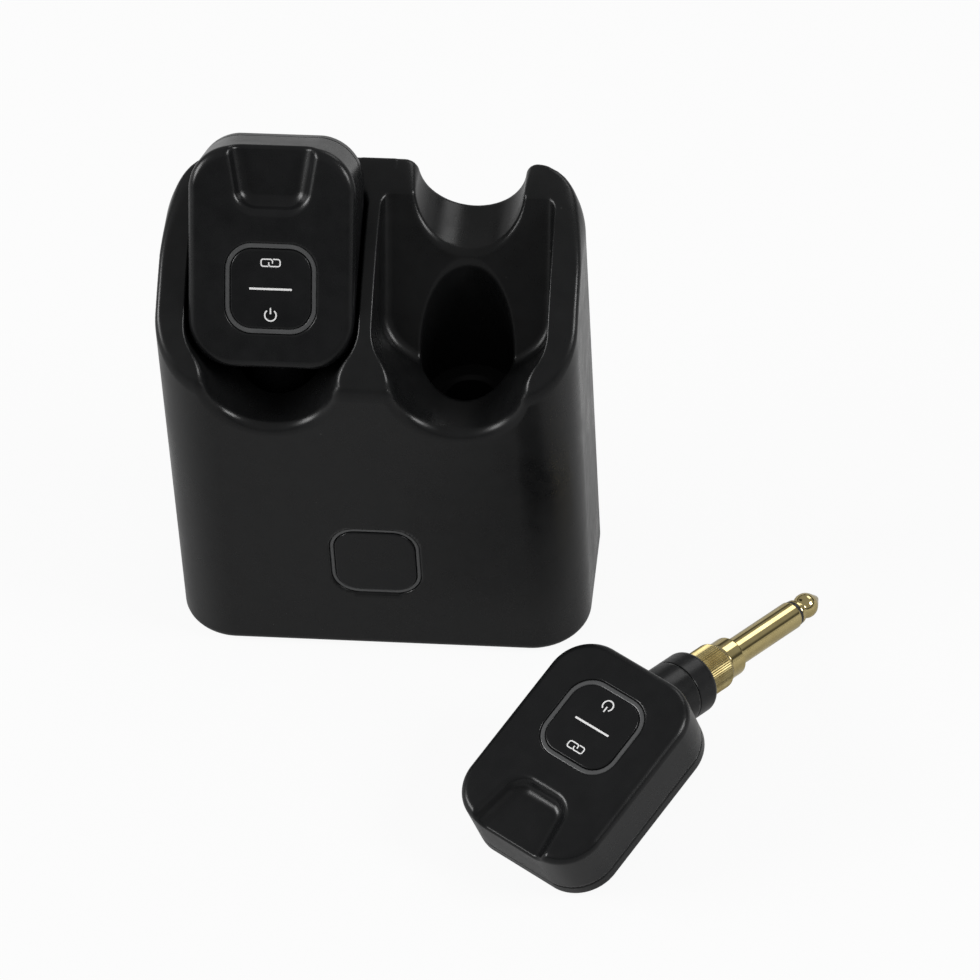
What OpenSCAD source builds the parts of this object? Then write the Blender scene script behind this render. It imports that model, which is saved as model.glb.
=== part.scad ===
// Wireless guitar transmitter in its charging dock, with the matching receiver on the table.
// Millimetres. +X is the dock's right, +Y its back, +Z up. The origin is the centre of the dock's base.

/* [Dock body] */
// Width of the dock
dock_w = 91.2; // [88:0.2:100]
// Depth of the dock
dock_d = 47.7; // [47:0.1:52]
// Radius of the dock's upright corners
dock_corner = 13; // [10:0.5:15]
// Radius of the edge round the foot of the dock
dock_foot_edge = 2; // [0.5:0.1:3]
// Height of the crease where the front face meets the curved top
crease_z = 78.4; // [76:0.2:80]
// Slope of the curved top at the crease, in degrees above level
crease_slope = 46; // [44:0.5:48]
// Radius of the curved top, seen from the side
crown_r = 93; // [90:1:96]
// Radius of the two upper corners, seen from the front
horn_r = 10; // [6:0.5:11]
// Wall thickness of the dock's shell
dock_wall = 2.2; // [1.8:0.1:2.4]
// Height of the shell's lower rim above the table
foot_h = 0.6; // [0.4:0.1:0.8]

/* [Bays] */
// Distance from the middle of the dock to the middle of each bay
bay_x = 20.3; // [20:0.1:22]
// Distance from the dock's front face to the plug's axis
bay_axis_d = 21.2; // [21:0.1:22]
// Gap round a docked unit
pocket_gap = 0.8; // [0.5:0.1:1]
// Gap between a docked unit's back and the pocket's floor
seat_gap = 0.3; // [0.2:0.05:0.4]
// Radius where the pocket's floor meets its walls
pocket_edge = 2.4; // [1:0.1:2.4]
// Radius of the rounded front scoop
scoop_r = 14.1; // [13:0.1:14.5]
// Height of the scoop's centre line
scoop_z = 81.8; // [81:0.1:82.8]
// Radius of the notch in the dock's back edge
notch_r = 11.75; // [11:0.05:12.5]
// Height of the notch's centre line
notch_z = 103.15; // [102.5:0.05:104]
// Radius of the notch's rounded shoulders
notch_shoulder = 4; // [3:0.25:4.5]
// Radius of the upright hole that takes the neck
bore_r = 10; // [9:0.1:10.5]

/* [Charging sockets] */
// Radius of the hole that takes the plug
socket_bore_r = 3.25; // [3.23:0.01:3.4]
// Radius of the socket's barrel
socket_barrel_r = 7; // [6:0.1:8]
// Gap between a docked neck and the socket's top
socket_seat_gap = 0.3; // [0.2:0.05:0.5]
// Thickness of the socket's flange
socket_flange_t = 2.2; // [1.5:0.1:3]
// Depth of the socket's head above its flange
socket_head_h = 8.2; // [8:0.1:9]
// Thickness of the contact springs
contact_t = 0.8; // [0.5:0.1:1]

/* [Dock base] */
// Thickness of the base plate
plate_t = 2.4; // [2:0.1:3]
// Gap between the base plate and the shell
plate_gap = 0.15; // [0.05:0.05:0.3]
// Width of the anti-slip mat
mat_w = 66; // [50:1:68]
// Depth of the anti-slip mat
mat_d = 32; // [20:1:34]
// Thickness of the anti-slip mat
mat_t = 1.2; // [1:0.1:1.4]
// Distance of the base screws from the dock's left and right sides
screw_in_x = 8.6; // [8.1:0.1:9.1]
// Distance of the base screws from the dock's front and back
screw_in_y = 7.45; // [7.05:0.05:7.85]
// Radius of a base screw's head
screw_head_r = 2.4; // [2:0.1:2.6]
// Radius of a base screw's shank
screw_shank_r = 1.1; // [0.9:0.05:1.2]
// Length of a base screw
screw_l = 10; // [8:0.5:12]

/* [Dock electrics] */
// Radius of the dock's rechargeable cell, as a share of the dock's depth
dock_cell_share = 0.193; // [0.17:0.001:0.194]
// Length of the dock's rechargeable cell
dock_cell_l = 64; // [50:1:65]
// Gap between the cell and the inlet
cell_inlet_gap = 0.75; // [0.5:0.05:1]
// Thickness of every circuit board
board_t = 1.2; // [0.8:0.1:1.4]
// Gap between the base plate and the main board
board_lift = 2.5; // [2:0.1:3]
// Width of the inlet
usb_w = 8.94; // [8.5:0.02:9.2]
// Height of the inlet
usb_h = 3.26; // [3:0.02:3.4]
// Depth of the inlet
usb_d = 7.3; // [6.5:0.1:7.5]

/* [Buttons] */
// Side of the light ring round each button
ring_side = 20; // [18:0.1:21]
// Corner radius of the light ring
ring_corner = 6; // [4:0.1:7]
// Width of the light ring on the two units
unit_ring_w = 1.2; // [0.8:0.05:1.5]
// Width of the light ring on the dock
dock_ring_w = 1; // [0.8:0.05:1.5]
// Gap round each moving button
button_gap = 0.12; // [0.1:0.01:0.2]
// Travel of each button
button_travel = 0.4; // [0.2:0.05:0.5]
// Height of the dock's button above the table
dock_button_z = 27.4; // [24:0.2:32]
// How far each light ring lies below the face round it
ring_sunk = 0.25; // [0.1:0.05:0.4]
// Side of a push switch
switch_side = 6; // [5:0.1:7]
// Height of a push switch's case
switch_h = 1.8; // [1.5:0.1:2]
// Radius of a push switch's plunger
plunger_r = 1.6; // [1.2:0.1:2]

/* [Unit body] */
// Width of the transmitter and of the receiver
unit_w = 36; // [35:0.1:36.5]
// Length of a unit's body
unit_l = 48.4; // [47:0.1:50]
// Thickness of a unit's body
unit_t = 16.6; // [16.4:0.1:18]
// Radius of a unit's corners
unit_corner = 9.7; // [8:0.1:11]
// Radius of the edge round a unit's front
unit_front_edge = 2; // [1:0.1:2.5]
// Radius of the edge round a unit's back
unit_back_edge = 1.2; // [0.5:0.1:1.4]
// Wall thickness of a unit's shells
unit_wall = 1.6; // [1.2:0.1:1.8]
// Thickness of the back cover, up to the seam
unit_seam = 3.6; // [3:0.1:4.5]
// Distance of the button's centre from the middle of the body, towards the plug
button_offset = 6.5; // [5:0.1:7]
// Half width of the finger recess at the end of the body
recess_end_half = 9.9; // [9:0.1:11]
// Half width of the finger recess at its inner end
recess_inner_half = 7.6; // [6.5:0.1:8]
// Length of the finger recess
recess_l = 14; // [12:0.1:15]
// Depth of the finger recess
recess_depth = 2.8; // [1.5:0.1:3]
// How far the recess's walls lean in from rim to floor
recess_lean = 1.8; // [0.5:0.1:2]
// Corner radius of the finger recess
recess_corner = 4.4; // [3:0.1:5]

/* [Neck and plug] */
// Angle between the plug and the back of a unit, and lean of the bays
neck_tilt = 31; // [30:0.25:32]
// Distance from a unit's plug end to where the plug's axis crosses its back
cross_in = 2.55; // [2:0.05:3]
// Radius of the neck
neck_r = 7.2; // [7:0.1:7.6]
// Distance from the crossing to the seam of the swivel neck
neck_seam = 8; // [7.5:0.25:9]
// Gap at the seam of the swivel neck
neck_gap = 0.15; // [0.1:0.01:0.2]
// Distance from the crossing to the end of the neck
neck_end = 14.5; // [14:0.25:15.5]
// Radius of the rounded end of the neck
neck_rim = 1.5; // [0.5:0.1:1.8]
// Radius of the swivel's spigot
spigot_r = 4.45; // [4:0.05:4.6]
// Running clearance round the spigot
spigot_gap = 0.05; // [0.02:0.01:0.1]
// Radius of the knurled collar
collar_r = 5.35; // [5:0.05:5.6]
// Length of the knurled collar
collar_l = 8.2; // [7.5:0.1:9]
// Number of ridges on the knurled collar
knurl_count = 44; // [30:2:60]
// Depth of the knurling
knurl_depth = 0.25; // [0.15:0.05:0.35]
// Radius of the small ring in front of the collar
shoulder_r = 4.5; // [4:0.05:4.8]
// Length of that ring
shoulder_l = 4.6; // [4:0.1:5]
// Radius of the plug's shaft
plug_r = 3.175; // [3.15:0.005:3.2]
// Length of the plug's sleeve
sleeve_l = 21.6; // [21.2:0.1:21.8]
// Length of the insulator ring that shows
insulator_l = 1; // [0.8:0.1:1.2]
// How far the insulator ring lies below the sleeve
insulator_sunk = 0.25; // [0.2:0.05:0.4]
// Length of the plug from its shoulder to its tip
plug_l = 31; // [30.6:0.1:31.3]
// Radius of the ball of the plug's tip
ball_r = 2.85; // [2.7:0.05:2.95]
// Distance from the end of the plug back to the middle of the ball
ball_back = 4.2; // [4:0.1:4.5]
// Radius of the rounded nose
nose_r = 0.9; // [0.6:0.1:1.2]

/* [Receiver on the table] */
// Place of the middle of the receiver's back, to the right of the dock's middle
receiver_x = 51.06; // [50:0.1:60]
// Place of the middle of the receiver's back, in front of the dock's middle
receiver_front = 68.57; // [66:0.1:80]
// Direction in which its plug points, in degrees from +X towards +Y
receiver_yaw = 55; // [45:1:60]

/* [Hidden] */

$fn = 64;
FAR = 100; // longer than anything that is cut

// Colours
PLASTIC = [0.045, 0.045, 0.05];
SOFT_BLACK = [0.03, 0.03, 0.03];
GUIDE = [0.25, 0.27, 0.28];
GOLD = [0.78, 0.64, 0.32];
BOARD = [0.05, 0.3, 0.15];
STEEL = [0.6, 0.6, 0.62];
FOIL = [0.55, 0.57, 0.6];

// Dock: the curved top is an arc whose centre follows from the crease
crown_y = -dock_d / 2 + crown_r * sin(crease_slope);
crown_z = crease_z - crown_r * cos(crease_slope);
dock_top = crown_z + sqrt(pow(crown_r, 2) - pow(dock_d / 2 - crown_y, 2));
bay_y = -dock_d / 2 + bay_axis_d;

// Stations along the plug's axis, counted from where it crosses the back of the unit
collar_end = neck_end + collar_l;
shoulder_end = collar_end + shoulder_l;
sleeve_end = shoulder_end + sleeve_l;
ring_end = sleeve_end + insulator_l;
tip_end = shoulder_end + plug_l;
ball_at = tip_end - ball_back;
collar_bore_r = plug_r - 0.6;
stem_start = neck_seam + 1.5;
clip_at = neck_seam - 9;
clip_t = 0.8;
clip_r = spigot_r + 0.95;
groove_r = spigot_r - 0.65;
stub_hollow_r = neck_r - unit_wall;
rod_r = 1.1;
tube_r = 2.1;

// A docked unit hangs with its neck just above the socket
cross_z = 73.5;
socket_top = cross_z - neck_end - socket_seat_gap;
flange_top = socket_top - socket_head_h;
collar_well = cross_z - shoulder_end - 0.4;
socket_floor = cross_z - tip_end - 2;
barrel_end = socket_floor - 1.5;
contact_z = cross_z - shoulder_end - 6;
contact_h = 4;

// Unit, in its own frame: +Y to the far end, +Z out of the front, origin at the crossing
unit_mid = unit_l / 2 - cross_in;
unit_end = -cross_in;
button_y = unit_mid - button_offset;
recess_top_y = unit_l - cross_in;
lip_h = 1.4;
lip_t = 0.8;
lip_gap = 0.1;

// Stack inside a unit, from the front inwards
front_inner = unit_t - unit_wall;
ring_flange_w = 1.2;
ring_back = front_inner - unit_wall;
button_flange_top = ring_back - 0.2;
button_flange_t = 0.9;
unit_switch_top = button_flange_top - button_flange_t - button_travel - 0.3;
unit_board_z = unit_switch_top - switch_h - board_t;
unit_cell_t = 5.8;
unit_cell_w = 23;
unit_cell_l = unit_l - 20.4;
unit_cell_y = 13;
post_r = 1.5;
post_x = unit_w / 2 - unit_wall - 3;

// The receiver rests on the far edge of its back and on the ball of its plug
edge_arm = unit_l - cross_in - unit_back_edge;
lean_p = edge_arm + ball_at * cos(neck_tilt);
lean_q = unit_back_edge + ball_at * sin(neck_tilt);
lean_h = sqrt(pow(lean_p, 2) + pow(lean_q, 2));
receiver_lean = acos((unit_back_edge - ball_r) / lean_h) - atan2(lean_p, lean_q);
receiver_z = edge_arm * sin(receiver_lean) - unit_back_edge * cos(receiver_lean) + unit_back_edge;

// Dock's base and button stack
plate_z = foot_h;
plate_top = plate_z + plate_t;
main_board_z = plate_top + board_lift;
front_y = -dock_d / 2;
dock_ring_back = front_y + dock_wall + 1.6;
dock_flange_y = dock_ring_back + 0.2;
dock_flange_t = 1;
dock_switch_y = front_y + 8;
dock_board_y = dock_switch_y + switch_h;
board_boss_r = 2;
board_boss_x = ring_side / 2 + ring_flange_w + board_boss_r + 0.4;
dock_board_w = 2 * (board_boss_x + board_boss_r);
dock_board_h = 22;
boss_r = 3.6;
screw_x = dock_w / 2 - screw_in_x;
screw_y = dock_d / 2 - screw_in_y;
dock_cell_r = dock_cell_share * dock_d;
dock_cell_y = dock_d / 2 - 0.2 - usb_d - cell_inlet_gap - dock_cell_r;
dock_in_w = dock_w - 2 * dock_wall;
dock_in_d = dock_d - 2 * dock_wall;
usb_z = main_board_z + board_t + usb_h / 2;

function arc(cx, cy, r, from, to, n = 6) =
    [for (i = [0:n]) let (a = from + (to - from) * i / n) [cx + r * cos(a), cy + r * sin(a)]];

// Exact rounded rectangle
module round_rect(w, l, r) {
    square([w - 2 * r, l], center = true);
    square([w, l - 2 * r], center = true);
    for (x = [-1, 1], y = [-1, 1]) translate([x * (w / 2 - r), y * (l / 2 - r)]) circle(r);
}

module round_prism(w, l, h, r) linear_extrude(h) round_rect(w, l, r);

// Rounded slab with soft edges: low and high are the edge radii at its bottom and top
module soft_slab(w, l, h, corner, low = 0, high = 0) {
    profile = concat(
        [[0, 0]],
        low > 0 ? arc(corner - low, low, low, -90, 0) : [[corner, 0]],
        high > 0 ? arc(corner - high, h - high, high, 0, 90) : [[corner, h]],
        [[0, h]]
    );
    hull() for (x = [-1, 1], y = [-1, 1])
        translate([x * (w / 2 - corner), y * (l / 2 - corner), 0])
            rotate_extrude($fn = 32) polygon(profile);
}

// ---------------------------------------------------------------- dock

// Side profile under the curved top, pulled in by a wall
module dock_side(inset) rotate([90, 0, 90]) linear_extrude(2 * FAR, center = true)
    intersection() {
        translate([-dock_d / 2 + inset, -1]) square([dock_d - 2 * inset, dock_top + 2]);
        translate([crown_y, crown_z]) circle(crown_r - inset, $fn = 180);
    }

// Front outline with its two rounded upper corners, pulled in by a wall
module dock_front(inset) rotate([90, 0, 0]) linear_extrude(2 * FAR, center = true) {
    half = dock_w / 2 - inset;
    top = dock_top - inset;
    r = horn_r - inset;
    translate([-half, -1]) square([2 * half, top - r + 1]);
    translate([-half + r, -1]) square([2 * (half - r), top + 1]);
    for (side = [-1, 1]) translate([side * (half - r), top - r]) circle(r);
}

module dock_outer() intersection() {
    translate([0, 0, foot_h])
        soft_slab(dock_w, dock_d, dock_top, dock_corner, low = dock_foot_edge);
    dock_side(0);
    dock_front(0);
}

module dock_inner() intersection() {
    translate([0, 0, foot_h - 1]) round_prism(dock_in_w, dock_in_d, dock_top, dock_corner - dock_wall);
    dock_side(dock_wall);
    dock_front(dock_wall);
}

module in_bay(side) translate([side * bay_x, bay_y, 0]) children();

// Frame of a docked unit
module docked_frame(side) in_bay(side)
    translate([0, 0, cross_z]) rotate([90 - neck_tilt, 0, 0]) children();

// Everything that a bay takes out of the dock; grow adds the wall round it
module bay_cut(side, grow = 0) {
    docked_frame(side)
        translate([0, unit_end - pocket_gap - grow + FAR / 2, -seat_gap - grow])
            soft_slab(
                unit_w + 2 * (pocket_gap + grow), FAR, FAR / 2,
                unit_corner + pocket_gap + grow, low = pocket_edge + grow
            );
    scoop_cut(side, grow);
    notch_cut(side, grow);
    in_bay(side) translate([0, 0, flange_top]) cylinder(r = bore_r + grow, h = 92 - flange_top);
}

// Round-bottomed scoop from the front face back to the pocket's floor
module scoop_cut(side, grow) intersection() {
    translate([side * bay_x, 0, scoop_z]) {
        rotate([90, 0, 0]) cylinder(r = scoop_r + grow, h = FAR, center = true);
        translate([-scoop_r - grow, -FAR / 2, 0]) cube([2 * (scoop_r + grow), FAR, FAR / 4]);
    }
    docked_frame(side) translate([-FAR / 2, -FAR / 2, -seat_gap - grow]) cube(FAR);
}

// Notch through the back edge: a hollow arc whose shoulders roll over to the top
module notch_cut(side, grow) {
    shoulder = notch_shoulder - grow;
    rise = dock_top - notch_shoulder - notch_z;
    reach = sqrt(pow(notch_r + notch_shoulder, 2) - pow(rise, 2));
    meet = notch_z + rise * (notch_r + grow) / (notch_r + notch_shoulder);
    translate([side * bay_x, FAR / 2, 0]) rotate([90, 0, 0]) linear_extrude(FAR) {
        translate([0, notch_z]) circle(notch_r + grow);
        difference() {
            translate([-reach, meet]) square([2 * reach, FAR / 5]);
            for (x = [-1, 1]) translate([x * reach, dock_top - notch_shoulder]) circle(shoulder);
        }
    }
}

module at_screws() for (x = [-1, 1], y = [-1, 1]) translate([x * screw_x, y * screw_y, 0]) children();

// Turns a piece drawn on the front of something so that it lies on the dock's front face
module on_dock_front(y) translate([0, y, dock_button_z]) rotate([90, 0, 0]) children();

// The dock's moulding is drawn as three solids that meet face to face: its outer walls, and the wall round each bay
module dock_shell() color(PLASTIC) difference() {
    union() {
        difference() {
            dock_outer();
            dock_inner();
            for (side = [-1, 1]) bay_cut(side, dock_wall);
        }
        // bosses for the base screws and for the button's board
        intersection() {
            dock_outer();
            for (x = [-1, 1], y = [-1, 1]) translate([x * screw_x, y * screw_y, plate_top]) {
                cylinder(r = boss_r, h = screw_l + 4);
                translate([x * boss_r, 0, (screw_l + 4) / 2])
                    cube([2 * boss_r, dock_wall, screw_l + 4], center = true);
            }
        }
        for (x = [-1, 1]) translate([x * board_boss_x, 0, 0]) on_dock_front(dock_board_y)
            cylinder(r = board_boss_r, h = dock_board_y - front_y - dock_wall / 2);
    }
    at_screws() translate([0, 0, plate_top - 1]) cylinder(r = screw_shank_r, h = screw_l + 1);
    on_dock_front(front_y + dock_wall + 1)
        round_prism(ring_side, ring_side, dock_wall + 2, ring_corner);
    translate([0, dock_d / 2, usb_z]) rotate([90, 0, 0])
        translate([0, 0, -1]) round_prism(usb_w + 0.3, usb_h + 0.3, dock_wall + 2, usb_h / 2);
}

// Wall round one bay, up to the middle of the dock
module bay_wall(side) color(PLASTIC) difference() {
    intersection() {
        dock_outer();
        bay_cut(side, dock_wall);
        translate([side > 0 ? 0 : -FAR, -FAR / 2, 0]) cube([FAR, FAR, 2 * FAR]);
    }
    bay_cut(side);
}

module left_bay_wall() bay_wall(-1);
module right_bay_wall() bay_wall(1);

module dock_base_plate() color(PLASTIC) difference() {
    union() {
        translate([0, 0, plate_z])
            round_prism(
                dock_in_w - 2 * plate_gap, dock_in_d - 2 * plate_gap, plate_t,
                dock_corner - dock_wall - plate_gap
            );
        // seats of the main board
        for (x = [-1, 1], y = [-1, 1]) translate([x * 27, y * 14, plate_z])
            cylinder(r = 2, h = plate_t + board_lift);
        // cup that holds the foot of the cell
        translate([0, dock_cell_y, plate_z]) cylinder(r = dock_cell_r + 1.6, h = plate_t + 1.6);
    }
    translate([0, dock_cell_y, plate_top]) cylinder(r = dock_cell_r + 0.2, h = 5);
    translate([0, 0, -1]) round_prism(mat_w + 0.2, mat_d + 0.2, mat_t + 1, 4.1);
    at_screws() {
        translate([0, 0, -1]) cylinder(r = screw_shank_r + 0.2, h = 10);
        translate([0, 0, plate_z - 1]) cylinder(r = screw_head_r + 0.2, h = 2.2);
    }
}

module dock_base_mat() color(SOFT_BLACK) round_prism(mat_w, mat_d, mat_t, 4);

module dock_base_screws() color(STEEL) at_screws() translate([0, 0, plate_z + 0.2]) difference() {
    union() {
        cylinder(r = screw_head_r, h = 1);
        cylinder(r = screw_shank_r, h = screw_l - 0.5);
    }
    // cross recess
    for (turn = [0, 90]) rotate([0, 0, turn]) translate([-1.3, -0.25, -0.1]) cube([2.6, 0.5, 0.7]);
}

module dock_main_board() color(BOARD) translate([0, 0, main_board_z]) difference() {
    round_prism(dock_in_w - 4, dock_in_d - 4, board_t, dock_corner - dock_wall - 2);
    translate([0, dock_cell_y, -1]) cylinder(r = dock_cell_r + 0.4, h = 4);
    at_screws() translate([0, 0, -1]) cylinder(r = boss_r + 0.6, h = 4);
}

module dock_usb_socket() color(STEEL) translate([0, dock_d / 2 - 0.2, usb_z]) rotate([90, 0, 0]) {
    difference() {
        round_prism(usb_w, usb_h, usb_d, usb_h / 2 - 0.01);
        translate([0, 0, -1]) round_prism(usb_w - 0.6, usb_h - 0.6, usb_d + 0.2, usb_h / 2 - 0.31);
    }
    translate([-3.3, -0.35, 1]) cube([6.6, 0.7, usb_d - 1.1]);
}

module dock_cell() color(FOIL) translate([0, dock_cell_y, plate_top]) {
    cylinder(r = dock_cell_r, h = dock_cell_l);
    translate([0, 0, dock_cell_l]) cylinder(r = 2.8, h = 1);
}

// Button drawn with its outer face at depth 0 and its inner side at negative z
module button_piece(ring_w, ring_depth, flange_t) {
    side = ring_side - 2 * (ring_w + button_gap);
    corner = ring_corner - ring_w - button_gap;
    flange = side + 2 * ring_w;
    translate([0, 0, -ring_depth - 0.2 - flange_t])
        round_prism(side, side, ring_depth + 0.2 + flange_t, corner);
    translate([0, 0, -ring_depth - 0.2 - flange_t]) round_prism(flange, flange, flange_t, corner + 1);
}

// Light ring in its opening, with the glued flange behind the wall
module ring_piece(ring_w, wall, flange_t) difference() {
    union() {
        translate([0, 0, -wall - flange_t])
            round_prism(ring_side - 0.1, ring_side - 0.1, wall + flange_t - ring_sunk, ring_corner - 0.05);
        translate([0, 0, -wall - flange_t])
            round_prism(
                ring_side + 2 * ring_flange_w, ring_side + 2 * ring_flange_w,
                flange_t, ring_corner + ring_flange_w
            );
    }
    translate([0, 0, -wall - flange_t - 1])
        round_prism(
            ring_side - 2 * ring_w, ring_side - 2 * ring_w,
            wall + flange_t + 2, ring_corner - ring_w
        );
}

module switch_case() difference() {
    translate([-switch_side / 2, -switch_side / 2, 0]) cube([switch_side, switch_side, switch_h]);
    translate([0, 0, 0.3]) cylinder(r = plunger_r + 0.1, h = switch_h);
}

module dock_button() color(PLASTIC) on_dock_front(front_y)
    button_piece(dock_ring_w, dock_ring_back - front_y, dock_flange_t);

module dock_light_ring() color(GUIDE) on_dock_front(front_y)
    ring_piece(dock_ring_w, dock_wall, dock_ring_back - front_y - dock_wall);

module dock_button_board() color(BOARD) on_dock_front(dock_board_y + board_t)
    translate([-dock_board_w / 2, -dock_board_h / 2, 0]) cube([dock_board_w, dock_board_h, board_t]);

module dock_switch() color(STEEL) on_dock_front(dock_board_y) switch_case();

module dock_switch_plunger() color(SOFT_BLACK) on_dock_front(dock_board_y) {
    start = button_travel + 0.4;
    translate([0, 0, start])
        cylinder(r = plunger_r, h = dock_board_y - dock_flange_y - dock_flange_t - start);
}

// Socket of one bay: head in the shell's hole, flange under it, barrel down to the main board
module charge_socket(side) color(SOFT_BLACK) in_bay(side) difference() {
    union() {
        translate([0, 0, flange_top]) cylinder(r = bore_r - 0.1, h = socket_head_h);
        translate([0, 0, flange_top - socket_flange_t])
            cylinder(r = bore_r + dock_wall - 0.4, h = socket_flange_t);
        translate([0, 0, barrel_end])
            cylinder(r = socket_barrel_r, h = flange_top - barrel_end);
    }
    translate([0, 0, socket_floor]) cylinder(r = socket_bore_r, h = FAR / 2);
    translate([0, 0, collar_well]) cylinder(r = collar_r + 0.5, h = FAR / 4);
    translate([0, 0, socket_top - 0.8]) cylinder(r1 = collar_r + 0.5, r2 = collar_r + 1.3, h = 0.81);
    // groove of the sleeve contact and window of the tip spring
    translate([0, 0, contact_z - contact_h / 2 - 0.05])
        cylinder(r = socket_bore_r + contact_t + 0.05, h = contact_h + 0.1);
    translate([0, 0, cross_z - ball_at]) tip_spring_shape(0.05);
    translate([0, socket_bore_r + contact_t / 2, barrel_end - 1])
        cylinder(r = contact_t / 2 + 0.05, h = cross_z - ball_at - barrel_end);
    translate([0, -socket_bore_r - contact_t / 2, barrel_end - 1])
        cylinder(r = contact_t / 2 + 0.05, h = contact_z - barrel_end);
}

// Curved leaf beside the ball of a docked plug; grow makes room for it
module tip_spring_shape(grow = 0) {
    height = 5 + 2 * grow;
    intersection() {
        difference() {
            cylinder(r = socket_bore_r + contact_t + grow, h = height, center = true);
            cylinder(r = socket_bore_r, h = height + 1, center = true);
        }
        translate([-1.5 - grow, 0, -height]) cube([3 + 2 * grow, 10, 2 * height]);
    }
}

module sleeve_contact(side) color(GOLD) in_bay(side) {
    translate([0, 0, contact_z]) difference() {
        cylinder(r = socket_bore_r + contact_t, h = contact_h, center = true);
        cylinder(r = socket_bore_r, h = contact_h + 1, center = true);
    }
    translate([0, -socket_bore_r - contact_t / 2, main_board_z + board_t])
        cylinder(r = contact_t / 2, h = contact_z - contact_h / 2 - main_board_z - board_t + 0.1);
}

module tip_spring(side) color(GOLD) in_bay(side) {
    translate([0, 0, cross_z - ball_at]) tip_spring_shape();
    translate([0, socket_bore_r + contact_t / 2, main_board_z + board_t])
        cylinder(r = contact_t / 2, h = cross_z - ball_at - 2.4 - main_board_z - board_t);
}

module left_charge_socket() charge_socket(-1);
module right_charge_socket() charge_socket(1);
module left_sleeve_contact() sleeve_contact(-1);
module right_sleeve_contact() sleeve_contact(1);
module left_tip_spring() tip_spring(-1);
module right_tip_spring() tip_spring(1);

// ---------------------------------------------------------------- one unit, in its own frame

module on_plug_axis(at = 0) rotate([90 + neck_tilt, 0, 0]) translate([0, 0, at]) children();

module at_button() translate([0, button_y, unit_t]) children();

module unit_outer() translate([0, unit_mid, 0])
    soft_slab(unit_w, unit_l, unit_t, unit_corner, low = unit_back_edge, high = unit_front_edge);

module unit_plan(inset, h) translate([0, unit_mid, 0])
    round_prism(unit_w - 2 * inset, unit_l - 2 * inset, h, unit_corner - inset);

// Outline of the finger recess, pulled in by lean; open past the end of the body
module recess_outline(lean) {
    r = recess_corner;
    half_end = recess_end_half - lean;
    half_in = recess_inner_half - lean;
    hull() {
        for (x = [-1, 1]) translate([x * (half_in - r / 2), recess_top_y - recess_l + lean + r])
            circle(r / 2 + 1, $fn = 32);
        translate([-half_end, recess_top_y]) square([2 * half_end, 4]);
    }
}

module recess_cut(grow = 0) {
    low = unit_t - recess_depth - grow;
    hull() {
        translate([0, 0, unit_t + 1]) linear_extrude(0.1) recess_outline(-grow);
        translate([0, 0, low]) linear_extrude(0.1) recess_outline(recess_lean - grow);
    }
}

module front_shell() color(PLASTIC) difference() {
    intersection() {
        unit_outer();
        translate([-FAR / 2, -FAR / 2, unit_seam]) cube(FAR);
    }
    difference() {
        unit_plan(unit_wall, front_inner);
        recess_cut(unit_wall);
    }
    recess_cut();
    at_button() translate([0, 0, -unit_wall - 1])
        round_prism(ring_side, ring_side, unit_wall + 2, ring_corner);
    on_plug_axis(-8) cylinder(r = neck_r + 0.05, h = 30);
}

module back_cover() color(PLASTIC) difference() {
    union() {
        difference() {
            intersection() {
                unit_outer();
                translate([-FAR / 2, -FAR / 2, unit_seam - FAR]) cube(FAR);
            }
            translate([0, 0, unit_wall]) unit_plan(unit_wall, unit_t);
        }
        // lip inside the front shell
        translate([0, 0, unit_wall]) difference() {
            unit_plan(unit_wall + lip_gap, unit_seam - unit_wall + lip_h);
            translate([0, 0, -1]) unit_plan(unit_wall + lip_gap + lip_t, unit_t);
            on_plug_axis(-20) cylinder(r = neck_r - 0.2, h = 40);
        }
        // fixed stub of the neck: a tube that runs out of the back and of the plug end
        intersection() {
            on_plug_axis(-16) cylinder(r = neck_r, h = neck_seam + 16);
            union() {
                translate([-FAR / 2, -FAR / 2, unit_wall - FAR]) cube(FAR);
                translate([-FAR / 2, unit_end + unit_wall + 0.8 - FAR, -FAR / 2]) cube(FAR);
            }
        }
        // seats of the circuit board
        for (x = [-1, 1], y = [unit_end + 6, recess_top_y - 6]) translate([x * post_x, y, unit_wall / 2])
            cylinder(r = post_r, h = unit_board_z - unit_wall / 2);
    }
    on_plug_axis(-20) cylinder(r = stub_hollow_r, h = 20 + clip_at + clip_t + 0.1);
    on_plug_axis(clip_at) cylinder(r = spigot_r + spigot_gap, h = neck_seam + 1 - clip_at);
}

module unit_button() color(PLASTIC) at_button()
    button_piece(unit_ring_w, unit_t - ring_back, button_flange_t);

module unit_light_ring() color(GUIDE) at_button()
    ring_piece(unit_ring_w, unit_wall, front_inner - ring_back);

module unit_board() color(BOARD) translate([0, unit_mid + 1, unit_board_z])
    round_prism(
        unit_w - 2 * unit_wall - 1, unit_l - 2 * unit_wall - 3, board_t,
        unit_corner - unit_wall - 1
    );

module unit_switch() color(STEEL) translate([0, button_y, unit_board_z + board_t]) switch_case();

module unit_switch_plunger() color(SOFT_BLACK) {
    start = unit_board_z + board_t + button_travel + 0.4;
    translate([0, button_y, start])
        cylinder(r = plunger_r, h = button_flange_top - button_flange_t - start);
}

module unit_cell() color(FOIL) translate([0, unit_cell_y + unit_cell_l / 2, unit_wall + 0.2])
    round_prism(unit_cell_w, unit_cell_l, unit_cell_t, 2);

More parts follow.
